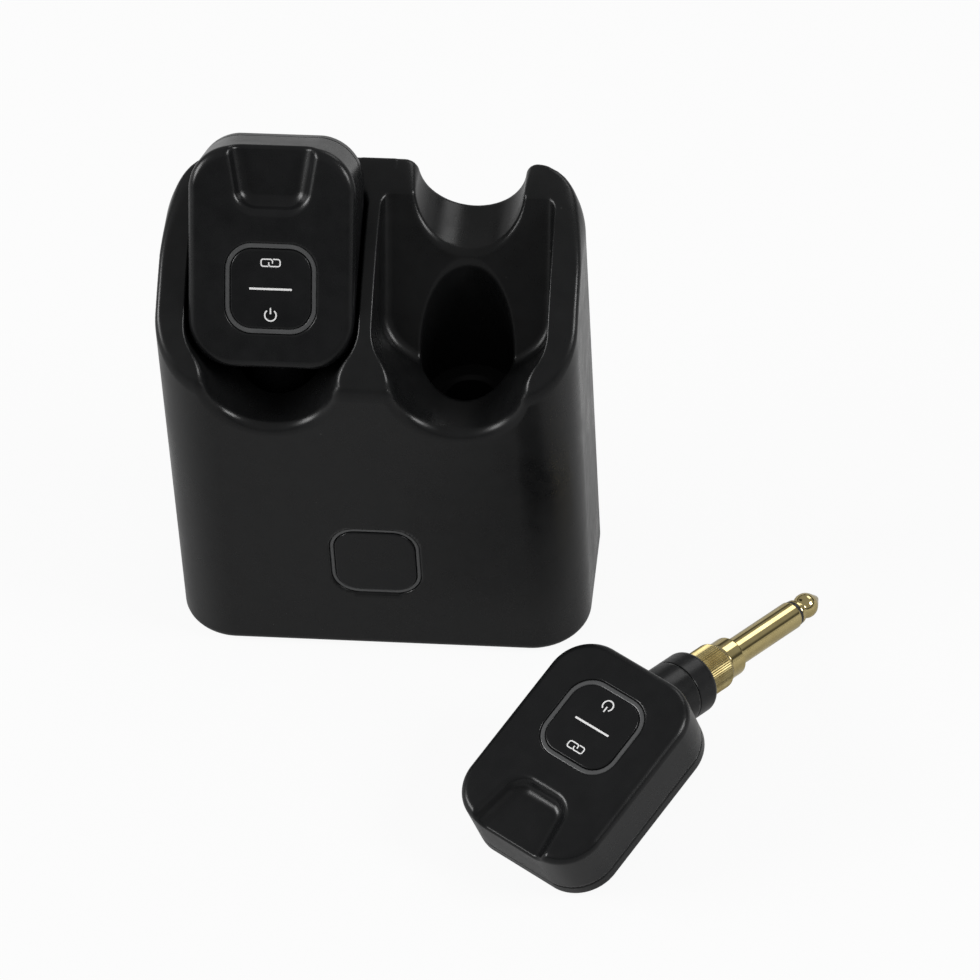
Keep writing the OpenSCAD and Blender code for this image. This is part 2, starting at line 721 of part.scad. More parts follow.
// Swivel neck: the sleeve that shows, and the spigot that turns in the fixed stub
module swivel_neck() color(PLASTIC) on_plug_axis() difference() {
    rotate_extrude() polygon(concat(
        [[0, clip_at - 0.7], [spigot_r - 0.3, clip_at - 0.7], [spigot_r, clip_at - 0.4]],
        [[spigot_r, clip_at - 0.05], [groove_r, clip_at - 0.05], [groove_r, clip_at + clip_t + 0.05]],
        [[spigot_r, clip_at + clip_t + 0.05], [spigot_r, neck_seam + neck_gap]],
        [[neck_r - 0.2, neck_seam + neck_gap], [neck_r, neck_seam + neck_gap + 0.2]],
        arc(neck_r - neck_rim, neck_end - neck_rim, neck_rim, 0, 90),
        [[0, neck_end]]
    ));
    translate([0, 0, stem_start]) cylinder(r = collar_bore_r, h = FAR);
    cylinder(r = tube_r, h = stem_start + 1);
}

module retaining_clip() color(STEEL) on_plug_axis(clip_at) difference() {
    cylinder(r = clip_r, h = clip_t);
    translate([0, 0, -1]) cylinder(r = groove_r + 0.03, h = 3);
    translate([-1.2, 0, -1]) cube([2.4, 20, 3]);
}

module knurled_collar() color(GOLD) on_plug_axis(neck_end) difference() {
    linear_extrude(collar_l) polygon([for (i = [0:2 * knurl_count - 1])
        let (r = collar_r - (i % 2) * knurl_depth, a = 180 * i / knurl_count) [r * cos(a), r * sin(a)]]);
    translate([0, 0, -1]) cylinder(r = collar_bore_r + 0.05, h = collar_l + 2);
}

module plug_sleeve() color(GOLD) on_plug_axis() difference() {
    union() {
        translate([0, 0, stem_start]) cylinder(r = collar_bore_r, h = collar_end - stem_start);
        translate([0, 0, collar_end]) cylinder(r = shoulder_r, h = shoulder_l);
        translate([0, 0, shoulder_end]) cylinder(r = plug_r, h = sleeve_l);
    }
    cylinder(r = tube_r + 0.02, h = FAR);
}

module insulator() color(SOFT_BLACK) on_plug_axis() difference() {
    union() {
        translate([0, 0, stem_start]) cylinder(r = tube_r, h = sleeve_end - stem_start);
        translate([0, 0, sleeve_end]) cylinder(r = plug_r - insulator_sunk, h = insulator_l);
    }
    cylinder(r = rod_r + 0.02, h = FAR);
}

// Tip: rod, disc, waist, ball and a cone that ends in a rounded nose
module plug_tip() color(GOLD) on_plug_axis() {
    waist_r = ball_r - 0.85;
    disc_l = 0.9;
    neck_l = 0.6;
    nose_at = tip_end - nose_r;
    slope = (ball_r - nose_r) / (nose_at - ball_at);
    side = sqrt(1 - slope * slope);
    translate([0, 0, stem_start - 2]) cylinder(r = rod_r, h = ring_end - stem_start + 2);
    translate([0, 0, ring_end]) cylinder(r = ball_r, h = disc_l);
    translate([0, 0, ring_end + disc_l]) cylinder(r1 = ball_r, r2 = waist_r, h = neck_l);
    translate([0, 0, ring_end + disc_l]) cylinder(r = waist_r, h = ball_at - ring_end - disc_l);
    translate([0, 0, ball_at]) sphere(ball_r);
    translate([0, 0, ball_at + ball_r * slope])
        cylinder(
            r1 = ball_r * side, r2 = nose_r * side,
            h = nose_at + nose_r * slope - ball_at - ball_r * slope
        );
    translate([0, 0, nose_at]) sphere(nose_r);
}

// ---------------------------------------------------------------- places of the two units

module docked() docked_frame(-1) children();

module on_table()
    translate([receiver_x, -receiver_front, 0])
        rotate([0, 0, receiver_yaw + 90])
            translate([0, -unit_mid * cos(receiver_lean), receiver_z])
                rotate([-receiver_lean, 0, 0]) children();

module transmitter_front_shell() docked() front_shell();
module transmitter_back_cover() docked() back_cover();
module transmitter_button() docked() unit_button();
module transmitter_light_ring() docked() unit_light_ring();
module transmitter_board() docked() unit_board();
module transmitter_switch() docked() unit_switch();
module transmitter_switch_plunger() docked() unit_switch_plunger();
module transmitter_cell() docked() unit_cell();
module transmitter_swivel_neck() docked() swivel_neck();
module transmitter_retaining_clip() docked() retaining_clip();
module transmitter_knurled_collar() docked() knurled_collar();
module transmitter_plug_sleeve() docked() plug_sleeve();
module transmitter_insulator() docked() insulator();
module transmitter_plug_tip() docked() plug_tip();

module receiver_front_shell() on_table() front_shell();
module receiver_back_cover() on_table() back_cover();
module receiver_button() on_table() unit_button();
module receiver_light_ring() on_table() unit_light_ring();
module receiver_board() on_table() unit_board();
module receiver_switch() on_table() unit_switch();
module receiver_switch_plunger() on_table() unit_switch_plunger();
module receiver_cell() on_table() unit_cell();
module receiver_swivel_neck() on_table() swivel_neck();
module receiver_retaining_clip() on_table() retaining_clip();
module receiver_knurled_collar() on_table() knurled_collar();
module receiver_plug_sleeve() on_table() plug_sleeve();
module receiver_insulator() on_table() insulator();
module receiver_plug_tip() on_table() plug_tip();

dock_shell();
left_bay_wall();
right_bay_wall();
dock_base_plate();
dock_base_mat();
dock_base_screws();
dock_main_board();
dock_usb_socket();
dock_cell();
dock_button();
dock_light_ring();
dock_button_board();
dock_switch();
dock_switch_plunger();
left_charge_socket();
left_sleeve_contact();
left_tip_spring();
right_charge_socket();
right_sleeve_contact();
right_tip_spring();
transmitter_front_shell();
transmitter_back_cover();
transmitter_button();
transmitter_light_ring();
transmitter_board();
transmitter_switch();
transmitter_switch_plunger();
transmitter_cell();
transmitter_swivel_neck();
transmitter_retaining_clip();
transmitter_knurled_collar();
transmitter_plug_sleeve();
transmitter_insulator();
transmitter_plug_tip();
receiver_front_shell();
receiver_back_cover();
receiver_button();
receiver_light_ring();
receiver_board();
receiver_switch();
receiver_switch_plunger();
receiver_cell();
receiver_swivel_neck();
receiver_retaining_clip();
receiver_knurled_collar();
receiver_plug_sleeve();
receiver_insulator();
receiver_plug_tip();
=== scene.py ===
"""Wireless guitar transmitter set: a charging dock with the transmitter in its left bay, and the
receiver beside it on the table.

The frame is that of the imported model, in metres: +X right, +Y back, +Z up, origin under the middle
of the dock. The mouldings are described in millimetres, which make_piece turns into metres.
"""

import math

import bpy
import numpy as np
from mathutils import Matrix


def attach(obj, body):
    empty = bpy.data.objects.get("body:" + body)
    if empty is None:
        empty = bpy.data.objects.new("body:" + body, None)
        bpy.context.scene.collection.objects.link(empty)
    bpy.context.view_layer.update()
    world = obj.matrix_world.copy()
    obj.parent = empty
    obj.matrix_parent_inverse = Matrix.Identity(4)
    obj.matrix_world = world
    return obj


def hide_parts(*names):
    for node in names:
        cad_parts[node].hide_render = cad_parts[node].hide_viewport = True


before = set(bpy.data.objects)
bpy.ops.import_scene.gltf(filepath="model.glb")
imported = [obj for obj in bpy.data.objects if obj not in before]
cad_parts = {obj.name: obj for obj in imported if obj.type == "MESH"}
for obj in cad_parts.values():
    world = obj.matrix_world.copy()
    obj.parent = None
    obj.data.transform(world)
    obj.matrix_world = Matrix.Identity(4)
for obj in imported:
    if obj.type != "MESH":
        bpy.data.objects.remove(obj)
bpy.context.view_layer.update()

# --------------------------------------------------------------------------------------------------
# Dock shell: one injection moulding of black ABS with a fine spark-eroded satin grain. The leaning
# bays, their front scoops, the notches in the back edge and the upright holes for the necks are
# sunk into a block with round corners and a curved top. Every edge has a moulded radius.

dock_half_width, dock_half_depth, dock_corner, dock_wall, dock_foot = 45.6, 23.85, 13, 2.2, 0.6
upper_end, upper_corner = 104.8, 10
crown_back, crown_low, crown_radius = 43.05, 13.79, 93
hollow_top = 70
bay_across, bay_back, bay_floor, bay_lean = 20.3, -2.65, 73.5, math.radians(59)
pocket_middle, pocket_half_width, pocket_half_length, pocket_corner = 46.65, 18.8, 50, 10.5
scoop_middle, scoop_radius = 81.8, 14.1
hole_radius, hole_low, hole_high = 10, 50.5, 92
notch_middle, notch_radius = 103.15, 11.75
horn_across, horn_middle, horn_radius, horn_low = 15.574, 100.8, 4, 101.4
opening_half, opening_corner = 10, 6  # of a ring's opening, in the dock and in the units
dock_opening_height, dock_opening_back = 27.4, -20.6
inlet_height, inlet_half_width, inlet_half_height, inlet_corner = 8.33, 4.62, 1.78, 1.63


def upright_wall(across, along, half_across, half_along, corner):
    """Distance to a wall with round corners, negative inside."""
    a, b = np.abs(across) - half_across + corner, np.abs(along) - half_along + corner
    return np.hypot(np.maximum(a, 0), np.maximum(b, 0)) + np.minimum(np.maximum(a, b), 0) - corner


def rounded_edge(a, b, radius):
    """What is inside both a and b, with the edge between them rounded."""
    return np.minimum(np.maximum(a, b), -radius) + np.hypot(
        np.maximum(a + radius, 0), np.maximum(b + radius, 0)
    )


def filleted(a, b, radius):
    """What is inside a or b, with a fillet in the corner between them."""
    return np.maximum(np.minimum(a, b), radius) - np.hypot(
        np.maximum(radius - a, 0), np.maximum(radius - b, 0)
    )


def leaning(y, z):
    """Places beside a bay's leaning floor: how far up along it, and how far out from it."""
    c, s = math.cos(bay_lean), math.sin(bay_lean)
    up = c * (y - bay_back) + s * (z - bay_floor)
    out = c * (z - bay_floor) - s * (y - bay_back)
    return up, out


def bay_space(x, y, z, side):
    """What one bay takes out of the dock, the radius of its rim, and the notch behind it."""
    x = x - side * bay_across
    up, out = leaning(y, z)
    pocket = upright_wall(
        x, up - pocket_middle, pocket_half_width, pocket_half_length, pocket_corner
    )
    scoop = np.hypot(x, np.minimum(z - scoop_middle, 0)) - scoop_radius
    walls = filleted(pocket, scoop, 2.6)
    from_horn = np.hypot(np.abs(x) - horn_across, z - horn_middle)
    notch = np.minimum(
        np.hypot(x, z - notch_middle) - notch_radius,
        np.maximum(
            np.maximum(np.abs(x) - horn_across, horn_low - z), horn_radius - from_horn
        ),
    )
    at_scoop = np.clip((pocket - scoop) / 5 + 0.5, 0, 1)
    return rounded_edge(walls, -out - 0.3, 2.4), 0.5 + 1.9 * at_scoop, notch


def dock_moulding(x, y, z):
    """Below nought inside the plastic of the dock's shell."""
    plan = upright_wall(x, y, dock_half_width, dock_half_depth, dock_corner)
    crown = np.hypot(y - crown_back, z - crown_low) - crown_radius
    flat_half = dock_half_width - upper_corner
    upper = upright_wall(x, z, dock_half_width, upper_end, upper_corner)
    upper = upper - 0.15 * np.maximum(flat_half - np.abs(x), 0)
    softness = 1.5 * np.clip((z - 95) / 5, 0, 1) * np.clip((np.abs(x) - flat_half) / 2, 0, 1)
    body = rounded_edge(rounded_edge(plan, upper, softness), crown, 1.5)
    body = rounded_edge(body, dock_foot - z, 2)
    hollow = np.maximum(np.maximum(plan, crown) + dock_wall, z - hollow_top)
    for side in (-1, 1):
        space, rim, notch = bay_space(x, y, z, side)
        from_axis = np.hypot(x - side * bay_across, y - bay_back)
        hole = np.maximum(from_axis - hole_radius, np.maximum(hole_low - z, z - hole_high))
        hollow = np.maximum(hollow, dock_wall - np.minimum(space, hole))
        body = rounded_edge(body, -space, rim)
        body = rounded_edge(body, -notch, 1.1)
        body = rounded_edge(body, -hole, 0.7)
    body = np.maximum(body, -hollow)
    opening = np.maximum(
        upright_wall(x, z - dock_opening_height, opening_half, opening_half, opening_corner),
        y - dock_opening_back,
    )
    inlet = np.maximum(
        upright_wall(x, z - inlet_height, inlet_half_width, inlet_half_height, inlet_corner),
        21 - y,
    )
    return rounded_edge(rounded_edge(body, -opening, 0.2), -inlet, 0.3)


def steps(*marks):
    """Places of the grid along one direction: start, then pairs of (end, spacing)."""
    places = [np.array([marks[0]])]
    for end, spacing in marks[1:]:
        start = places[-1][-1]
        n = max(1, round((end - start) / spacing))
        places.append(np.linspace(start, end, n + 1)[1:])
    return np.concatenate(places)


def slope_of(shape, p):
    """Unit direction straight out of the surface at the points p."""
    reach = 0.02
    g = np.empty_like(p)
    for axis in range(3):
        step = np.zeros(3)
        step[axis] = reach
        a, b = p + step, p - step
        g[:, axis] = shape(a[:, 0], a[:, 1], a[:, 2]) - shape(b[:, 0], b[:, 1], b[:, 2])
    return g / np.maximum(np.linalg.norm(g, axis=1), 1e-9)[:, None]


def moulded_skin(shape, xs, ys, zs):
    """Points, quads and surface directions of the skin where shape is nought, in millimetres.

    Each cell of the grid that the skin runs through gets one point, placed where the surface's
    slopes meet, so that edges stay crisp.
    """
    hold = 0.08  # how firmly a point keeps to the middle of its cell's crossings
    grid = (xs, ys, zs)
    value = shape(*np.meshgrid(xs, ys, zs, indexing="ij"))
    size = np.array(value.shape)
    crossings, directions, owners, quads = [], [], [], []
    for axis in range(3):
        first, last = [slice(None)] * 3, [slice(None)] * 3
        first[axis], last[axis] = slice(0, -1), slice(1, None)
        a, b = value[tuple(first)], value[tuple(last)]
        at = np.argwhere((a < 0) != (b < 0))
        va, vb = a[tuple(at.T)], b[tuple(at.T)]
        p = np.stack([grid[k][at[:, k]] for k in range(3)], 1)
        q = p.copy()
        q[:, axis] = grid[axis][at[:, axis] + 1]
        fa, fb, low, high = va.copy(), vb.copy(), p[:, axis].copy(), q[:, axis].copy()
        for _ in range(4):  # false position, to land on the surface
            t = np.clip(fa / np.where(fa == fb, 1, fa - fb), 0.05, 0.95)
            p[:, axis] = low + (high - low) * t
            here = shape(p[:, 0], p[:, 1], p[:, 2])
            same = (here < 0) == (fa < 0)
            low, fa = np.where(same, p[:, axis], low), np.where(same, here, fa)
            high, fb = np.where(same, high, p[:, axis]), np.where(same, fb, here)
        others = [k for k in range(3) if k != axis]
        four = []
        for du, dv in ((0, 0), (-1, 0), (-1, -1), (0, -1)):
            cell = at.copy()
            cell[:, others[0]] += du
            cell[:, others[1]] += dv
            four.append(np.ravel_multi_index(tuple(cell.T), size))
        four = np.stack(four, 1)
        turn = (va < 0) == (axis != 1)
        quads.append(np.where(turn[:, None], four, four[:, ::-1]))
        crossings.append(np.repeat(p, 4, 0))
        directions.append(np.repeat(slope_of(shape, p), 4, 0))
        owners.append(four.ravel())
    p, n = np.concatenate(crossings), np.concatenate(directions)
    cells, place = np.unique(np.concatenate(owners), return_inverse=True)
    count = np.bincount(place).astype(float)
    middle = np.stack([np.bincount(place, p[:, k]) / count for k in range(3)], 1)
    gap = ((p - middle[place]) * n).sum(1)
    pull = np.stack([np.bincount(place, n[:, k] * gap) for k in range(3)], 1)
    stiff = np.zeros((len(cells), 3, 3))
    for i in range(3):
        for j in range(3):
            stiff[:, i, j] = np.bincount(place, n[:, i] * n[:, j])
    stiff[:, range(3), range(3)] += hold * count[:, None]
    points = middle + np.linalg.solve(stiff, pull[:, :, None])[:, :, 0]
    index = np.stack(np.unravel_index(cells, size), 1)
    for k in range(3):
        points[:, k] = np.clip(points[:, k], grid[k][index[:, k]], grid[k][index[:, k] + 1])
    faces = np.searchsorted(cells, np.concatenate(quads))
    return points, faces, slope_of(shape, points)


def make_piece(name, skin, material, body, stands_for=(), place=None, sharp=None):
    """A smooth mesh from a skin in millimetres, on its body and for the solids it stands for."""
    points, faces, *directions = skin
    mesh = bpy.data.meshes.new(name)
    in_metres = (np.asarray(points, float) * 0.001).tolist()
    mesh.from_pydata(in_metres, [], [list(map(int, f)) for f in faces])
    mesh.shade_smooth()
    if directions:
        mesh.normals_split_custom_set_from_vertices(directions[0].tolist())
    elif sharp:
        mesh.set_sharp_from_angle(angle=math.radians(sharp))
    made = bpy.data.objects.new(name, mesh)
    bpy.context.scene.collection.objects.link(made)
    mesh.materials.append(material)
    if place is not None:
        made.matrix_world = place
    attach(made, body)
    if stands_for:
        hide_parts(*stands_for)


def feed(tree, node, takes):
    """Gives a node's inputs their values, or joins them to another node's output."""
    for key, value in takes.items():
        if isinstance(value, bpy.types.NodeSocket):
            tree.links.new(value, node.inputs[key])
        else:
            node.inputs[key].default_value = value


def add_node(tree, kind, takes=None, **settings):
    """One node. takes names its inputs, each a value or another node's output."""
    made = tree.nodes.new("ShaderNode" + kind)
    for key, value in settings.items():
        setattr(made, key, value)
    feed(tree, made, takes or {})
    return made


def new_effect(name, takes, gives):
    """A shader node group with its named inputs and outputs, ready to be filled."""
    tree = bpy.data.node_groups.new(name, "ShaderNodeTree")
    for label, kind, value in takes:
        socket = tree.interface.new_socket(
            label, in_out="INPUT", socket_type="NodeSocket" + kind
        )
        if value is not None:
            socket.default_value = value
    for label, kind in gives:
        tree.interface.new_socket(label, in_out="OUTPUT", socket_type="NodeSocket" + kind)
    inside = tree.nodes
    return tree, inside.new("NodeGroupInput").outputs, inside.new("NodeGroupOutput").inputs


def place_effect(tree, effect, takes):
    """One placing of an effect in a material, with its own values."""
    made = tree.nodes.new("ShaderNodeGroup")
    made.node_tree = effect
    feed(tree, made, takes)
    return made.outputs


def new_finish(name, **shader):
    """A material with its own shader, whose constant values go straight to the sockets."""
    made = bpy.data.materials.new(name)
    made.use_nodes = True
    surface = made.node_tree.nodes["Principled BSDF"]
    for key, value in shader.items():
        surface.inputs[key.replace("_", " ")].default_value = value
    place = made.node_tree.nodes.new("ShaderNodeTexCoord").outputs["Object"]
    return made, made.node_tree, surface.inputs, place


# The grain that the spark-eroded mould leaves: fine pits, and a slower mottle in the gloss
moulded_grain, at, out = new_effect(
    "moulded grain",
    [
        ("Place", "Vector", None),
        ("Grain", "Float", 0.14),
        ("Depth", "Float", 0.004),
        ("Roughness", "Float", 0.42),
        ("Mottle", "Float", 0.05),
    ],
    [("Roughness", "Float"), ("Normal", "Vector"), ("Tone", "Float")],
)
fineness = add_node(
    moulded_grain, "Math", {0: 1000.0, 1: at["Grain"]}, operation="DIVIDE"
).outputs[0]
pits = add_node(
    moulded_grain, "TexNoise", {"Vector": at["Place"], "Scale": fineness, "Detail": 2.0}
)
mottle = add_node(
    moulded_grain, "TexNoise", {"Vector": at["Place"], "Scale": 260.0, "Detail": 3.0}
).outputs[0]
height = add_node(
    moulded_grain, "Math", {0: at["Depth"], 1: 0.001}, operation="MULTIPLY"
).outputs[0]
bump = add_node(
    moulded_grain, "Bump", {"Height": pits.outputs[0], "Distance": height, "Strength": 1.0}
)
swing = add_node(moulded_grain, "Math", {0: mottle, 1: 0.5}, operation="SUBTRACT").outputs[0]
gloss = add_node(
    moulded_grain,
    "Math",
    {0: swing, 1: at["Mottle"], 2: at["Roughness"]},
    operation="MULTIPLY_ADD",
)
moulded_grain.links.new(gloss.outputs[0], out["Roughness"])
moulded_grain.links.new(bump.outputs[0], out["Normal"])
moulded_grain.links.new(mottle, out["Tone"])

# What hands leave: broad smudges that are a little glossier, hairline rubs, a few specks of dust
handling, at, out = new_effect(
    "handling",
    [
        ("Place", "Vector", None),
        ("Roughness", "Float", 0.4),
        ("Smudge", "Float", 0.06),
        ("Dust", "Float", 0.5),
    ],
    [("Roughness", "Float"), ("Dust", "Float")],
)
smudge = add_node(
    handling,
    "TexNoise",
    {"Vector": at["Place"], "Scale": 55.0, "Detail": 4.0, "Distortion": 0.6},
).outputs[0]
smudged = add_node(
    handling, "MapRange", {"Value": smudge, "From Min": 0.42, "From Max": 0.68}, clamp=True
).outputs[0]
stretch = add_node(
    handling, "VectorMath", {0: at["Place"], 1: (900.0, 160.0, 300.0)}, operation="MULTIPLY"
).outputs[0]
rub = add_node(handling, "TexNoise", {"Vector": stretch, "Scale": 3.0, "Detail": 2.0}).outputs[0]
rubbed = add_node(
    handling, "MapRange", {"Value": rub, "From Min": 0.66, "From Max": 0.74}, clamp=True
).outputs[0]
less = add_node(handling, "Math", {0: smudged, 1: at["Smudge"]}, operation="MULTIPLY").outputs[0]
gloss = add_node(
    handling, "Math", {0: at["Roughness"], 1: less}, operation="SUBTRACT"
).outputs[0]
gloss = add_node(
    handling, "Math", {0: rubbed, 1: -0.05, 2: gloss}, operation="MULTIPLY_ADD"
).outputs[0]
specks = add_node(
    handling, "TexVoronoi", {"Vector": at["Place"], "Scale": 420.0, "Randomness": 1.0}
).outputs
chosen = add_node(handling, "SeparateColor", {0: specks["Color"]}).outputs[0]
chosen = add_node(handling, "Math", {0: chosen, 1: 0.985}, operation="GREATER_THAN").outputs[0]
small = add_node(
    handling, "Math", {0: specks["Distance"], 1: 0.1}, operation="LESS_THAN"
).outputs[0]
dusty = add_node(handling, "Math", {0: chosen, 1: small}, operation="MULTIPLY").outputs[0]
dusty = add_node(handling, "Math", {0: dusty, 1: at["Dust"]}, operation="MULTIPLY").outputs[0]
handling.links.new(gloss, out["Roughness"])
handling.links.new(dusty, out["Dust"])


def blend_colours(tree, share, first, second):
    """A colour that runs from first to second with the share."""
    return add_node(tree, "Mix", {0: share, 6: first, 7: second}, data_type="RGBA").outputs[2]


def satin_plastic(name, dark, light, roughness, specular, grain=0.14, smudge=0.07):
    """Black moulded plastic: near-black pigment, satin grain, faint smudges and specks."""
    made, tree, shader, place = new_finish(name, IOR=1.5, Specular_IOR_Level=specular)
    grained = place_effect(
        tree,
        moulded_grain,
        {"Place": place, "Grain": grain, "Roughness": roughness, "Mottle": 0.12},
    )
    handled = place_effect(
        tree,
        handling,
        {"Place": place, "Roughness": grained["Roughness"], "Smudge": smudge, "Dust": 0.12},
    )
    pigment = blend_colours(tree, grained["Tone"], (*dark, 1), (*light, 1))
    pigment = blend_colours(tree, handled["Dust"], pigment, (0.16, 0.155, 0.15, 1))
    tree.links.new(pigment, shader["Base Color"])
    tree.links.new(handled["Roughness"], shader["Roughness"])
    tree.links.new(grained["Normal"], shader["Normal"])
    return made


shell_plastic = satin_plastic(
    "satin black shell", (0.0042, 0.0044, 0.0046), (0.0074, 0.0076, 0.0078), 0.32, 0.21
)
dock_skin = moulded_skin(
    dock_moulding,
    steps(
        -46.2, (-40, 0.55), (-38.2, 0.26), (-2.6, 0.55), (-0.6, 0.26), (0.6, 0.4), (2.6, 0.26),
        (38.2, 0.55), (40, 0.26), (46.2, 0.55),
    ),
    steps(-24.45, (24.45, 0.55)),
    steps(
        0.1, (3.1, 0.5), (11.2, 0.7), (16.8, 2), (38.2, 0.65), (49.4, 2.2), (51.6, 0.55),
        (64, 2.1), (105.6, 0.52),
    ),
)
dock_walls = ("dock_shell", "left_bay_wall", "right_bay_wall")
make_piece("dock_moulded_shell", dock_skin, shell_plastic, "dock", dock_walls)

# --------------------------------------------------------------------------------------------------
# Dock base: a flat plate of the same black ABS that closes the shell from below, held by four
# cross-head steel screws, with an anti-slip mat of soft black rubber glued into its shallow recess.


def dress(finish, *solids):
    """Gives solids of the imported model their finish."""
    for solid in solids:
        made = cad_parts[solid]
        if not made.material_slots:
            made.data.materials.append(finish)
        for place in made.material_slots:
            place.material = finish


def follow_pattern(tree, shader, pattern, dark, light, least, most):
    """A colour from dark to light and a roughness from least to most, both by one pattern."""
    colour = blend_colours(tree, pattern, (*dark, 1), (*light, 1))
    rough = add_node(tree, "MapRange", {"Value": pattern, "To Min": least, "To Max": most})
    tree.links.new(colour, shader["Base Color"])
    tree.links.new(rough.outputs[0], shader["Roughness"])


def raise_pattern(tree, shader, pattern, height, strength):
    """Fine relief, as high in metres as height."""
    relief = add_node(
        tree, "Bump", {"Height": pattern, "Distance": height, "Strength": strength}
    )
    tree.links.new(relief.outputs[0], shader["Normal"])


base_plastic = satin_plastic(
    "coarse black base", (0.006, 0.006, 0.0062), (0.010, 0.010, 0.0104), 0.5, 0.2, grain=0.3
)
dress(base_plastic, "dock_base_plate")

rubber, tree, shader, place = new_finish("dimpled black rubber", Specular_IOR_Level=0.25)
dimples = add_node(tree, "TexVoronoi", {"Vector": place, "Scale": 620.0, "Randomness": 0.15})
bloom = add_node(tree, "TexNoise", {"Vector": place, "Scale": 90.0, "Detail": 4.0}).outputs[0]
follow_pattern(tree, shader, bloom, (0.012, 0.012, 0.012), (0.026, 0.026, 0.025), 0.62, 0.86)
raise_pattern(tree, shader, dimples.outputs["Distance"], 0.0002, 0.8)
dress(rubber, "dock_base_mat")

# What a lathe or a grinding wheel leaves: fine lines round a metal piece, and a breath of tarnish
tooled_lines, at, out = new_effect(
    "tooled lines",
    [
        ("Place", "Vector", None),
        ("Lines", "Float", 6.0),
        ("Depth", "Float", 0.002),
        ("Roughness", "Float", 0.25),
    ],
    [("Roughness", "Float"), ("Normal", "Vector"), ("Tarnish", "Float")],
)
density = add_node(
    tooled_lines, "Math", {0: at["Lines"], 1: 1000.0}, operation="MULTIPLY"
).outputs[0]
height = add_node(tooled_lines, "SeparateXYZ", {0: at["Place"]}).outputs[2]
reach = add_node(tooled_lines, "Math", {0: height, 1: density}, operation="MULTIPLY").outputs[0]
lines = add_node(
    tooled_lines, "TexNoise", {"W": reach, "Scale": 1.0, "Detail": 2.0}, noise_dimensions="1D"
)
cloud = add_node(
    tooled_lines, "TexNoise", {"Vector": at["Place"], "Scale": 190.0, "Detail": 4.0}
).outputs[0]
depth = add_node(
    tooled_lines, "Math", {0: at["Depth"], 1: 0.001}, operation="MULTIPLY"
).outputs[0]
bump = add_node(
    tooled_lines, "Bump", {"Height": lines.outputs[0], "Distance": depth, "Strength": 1.0}
)
swing = add_node(tooled_lines, "Math", {0: cloud, 1: 0.5}, operation="SUBTRACT").outputs[0]
gloss = add_node(
    tooled_lines, "Math", {0: swing, 1: 0.08, 2: at["Roughness"]}, operation="MULTIPLY_ADD"
)
spread = add_node(
    tooled_lines, "MapRange", {"Value": cloud, "From Min": 0.35, "From Max": 0.75}, clamp=True
)
tooled_lines.links.new(gloss.outputs[0], out["Roughness"])
tooled_lines.links.new(bump.outputs[0], out["Normal"])
tooled_lines.links.new(spread.outputs[0], out["Tarnish"])


def tooled_metal(name, clean, tarnished, roughness, lines, depth=0.002):
    """Turned or plated metal with its tool lines and faint tarnish."""
    made, tree, shader, place = new_finish(name, Metallic=1.0)
    tooled = place_effect(
        tree,
        tooled_lines,
        {"Place": place, "Lines": lines, "Depth": depth, "Roughness": roughness},
    )
    colour = blend_colours(tree, tooled["Tarnish"], (*clean, 1), (*tarnished, 1))
    tree.links.new(colour, shader["Base Color"])
    tree.links.new(tooled["Roughness"], shader["Roughness"])
    tree.links.new(tooled["Normal"], shader["Normal"])
    return made


zinc_steel = tooled_metal(
    "zinc-plated steel", (0.52, 0.53, 0.55), (0.34, 0.35, 0.36), 0.34, 3.0, 0.003
)
dress(zinc_steel, "dock_base_screws")

# --------------------------------------------------------------------------------------------------
# Light ring and button in the dock's front: the ring is smoky translucent polycarbonate, glued in
# from behind and sunk a little; the button is a plate of the shell's ABS that moves inside it on a
# push switch.

flange_half, ring_gap, button_gap = 11.2, 0.05, 0.12


def squircle(half, height):
    """One level of a ring or a button: a square whose round corners share the opening's centres."""
    centre = opening_half - opening_corner
    turn = np.linspace(0, math.pi / 2, 10)
    level = []
    for quarter, (across, along) in enumerate(((1, 1), (-1, 1), (-1, -1), (1, -1))):
        a = turn + quarter * math.pi / 2
        x = across * centre + (half - centre) * np.cos(a)
        y = along * centre + (half - centre) * np.sin(a)
        level.append(np.stack([x, y, np.full(10, float(height))], 1))
    return np.concatenate(level)


def skin_over(levels, closed=False):
    """A skin over levels of points, closed back to the first one or capped at both ends."""
    count = len(levels[0])
    faces = []
    for i in range(len(levels) - (0 if closed else 1)):
        a, b = i * count, (i + 1) % len(levels) * count
        faces += [(a + j, a + (j + 1) % count, b + (j + 1) % count, b + j) for j in range(count)]
    if not closed:
        last = (len(levels) - 1) * count
        faces += [tuple(range(count))[::-1], tuple(range(last, last + count))]
    return np.concatenate(levels), faces


def ring_skin(width, wall, flange):
    """A light ring of a given width, with a flange behind the wall that it shows through."""
    inner, outer, back = opening_half - width, opening_half - ring_gap, -wall - flange
    section = (
        (flange_half, back), (flange_half, -wall), (outer, -wall), (outer, -0.5), (9.9, -0.36),
        (9.75, -0.26), (9.6, -0.25), (inner + 0.4, -0.25), (inner + 0.2, -0.26),
        (inner + 0.05, -0.36), (inner, -0.5), (inner, back),
    )
    return skin_over([squircle(half, height) for half, height in section], closed=True)


def button_skin(width, depth, flange):
    """A button inside a ring of a given width, with a flange that keeps it from falling out."""
    half, shoulder = opening_half - width - button_gap, -depth - 0.2
    section = (
        (half + width, shoulder - flange), (half + width, shoulder), (half, shoulder),
        (half, -0.3), (half - 0.04, -0.15), (half - 0.15, -0.04), (half - 0.3, 0),
        (half - 0.45, 0), (half - 2, 0),
    )
    return skin_over([squircle(side, height) for side, height in section])


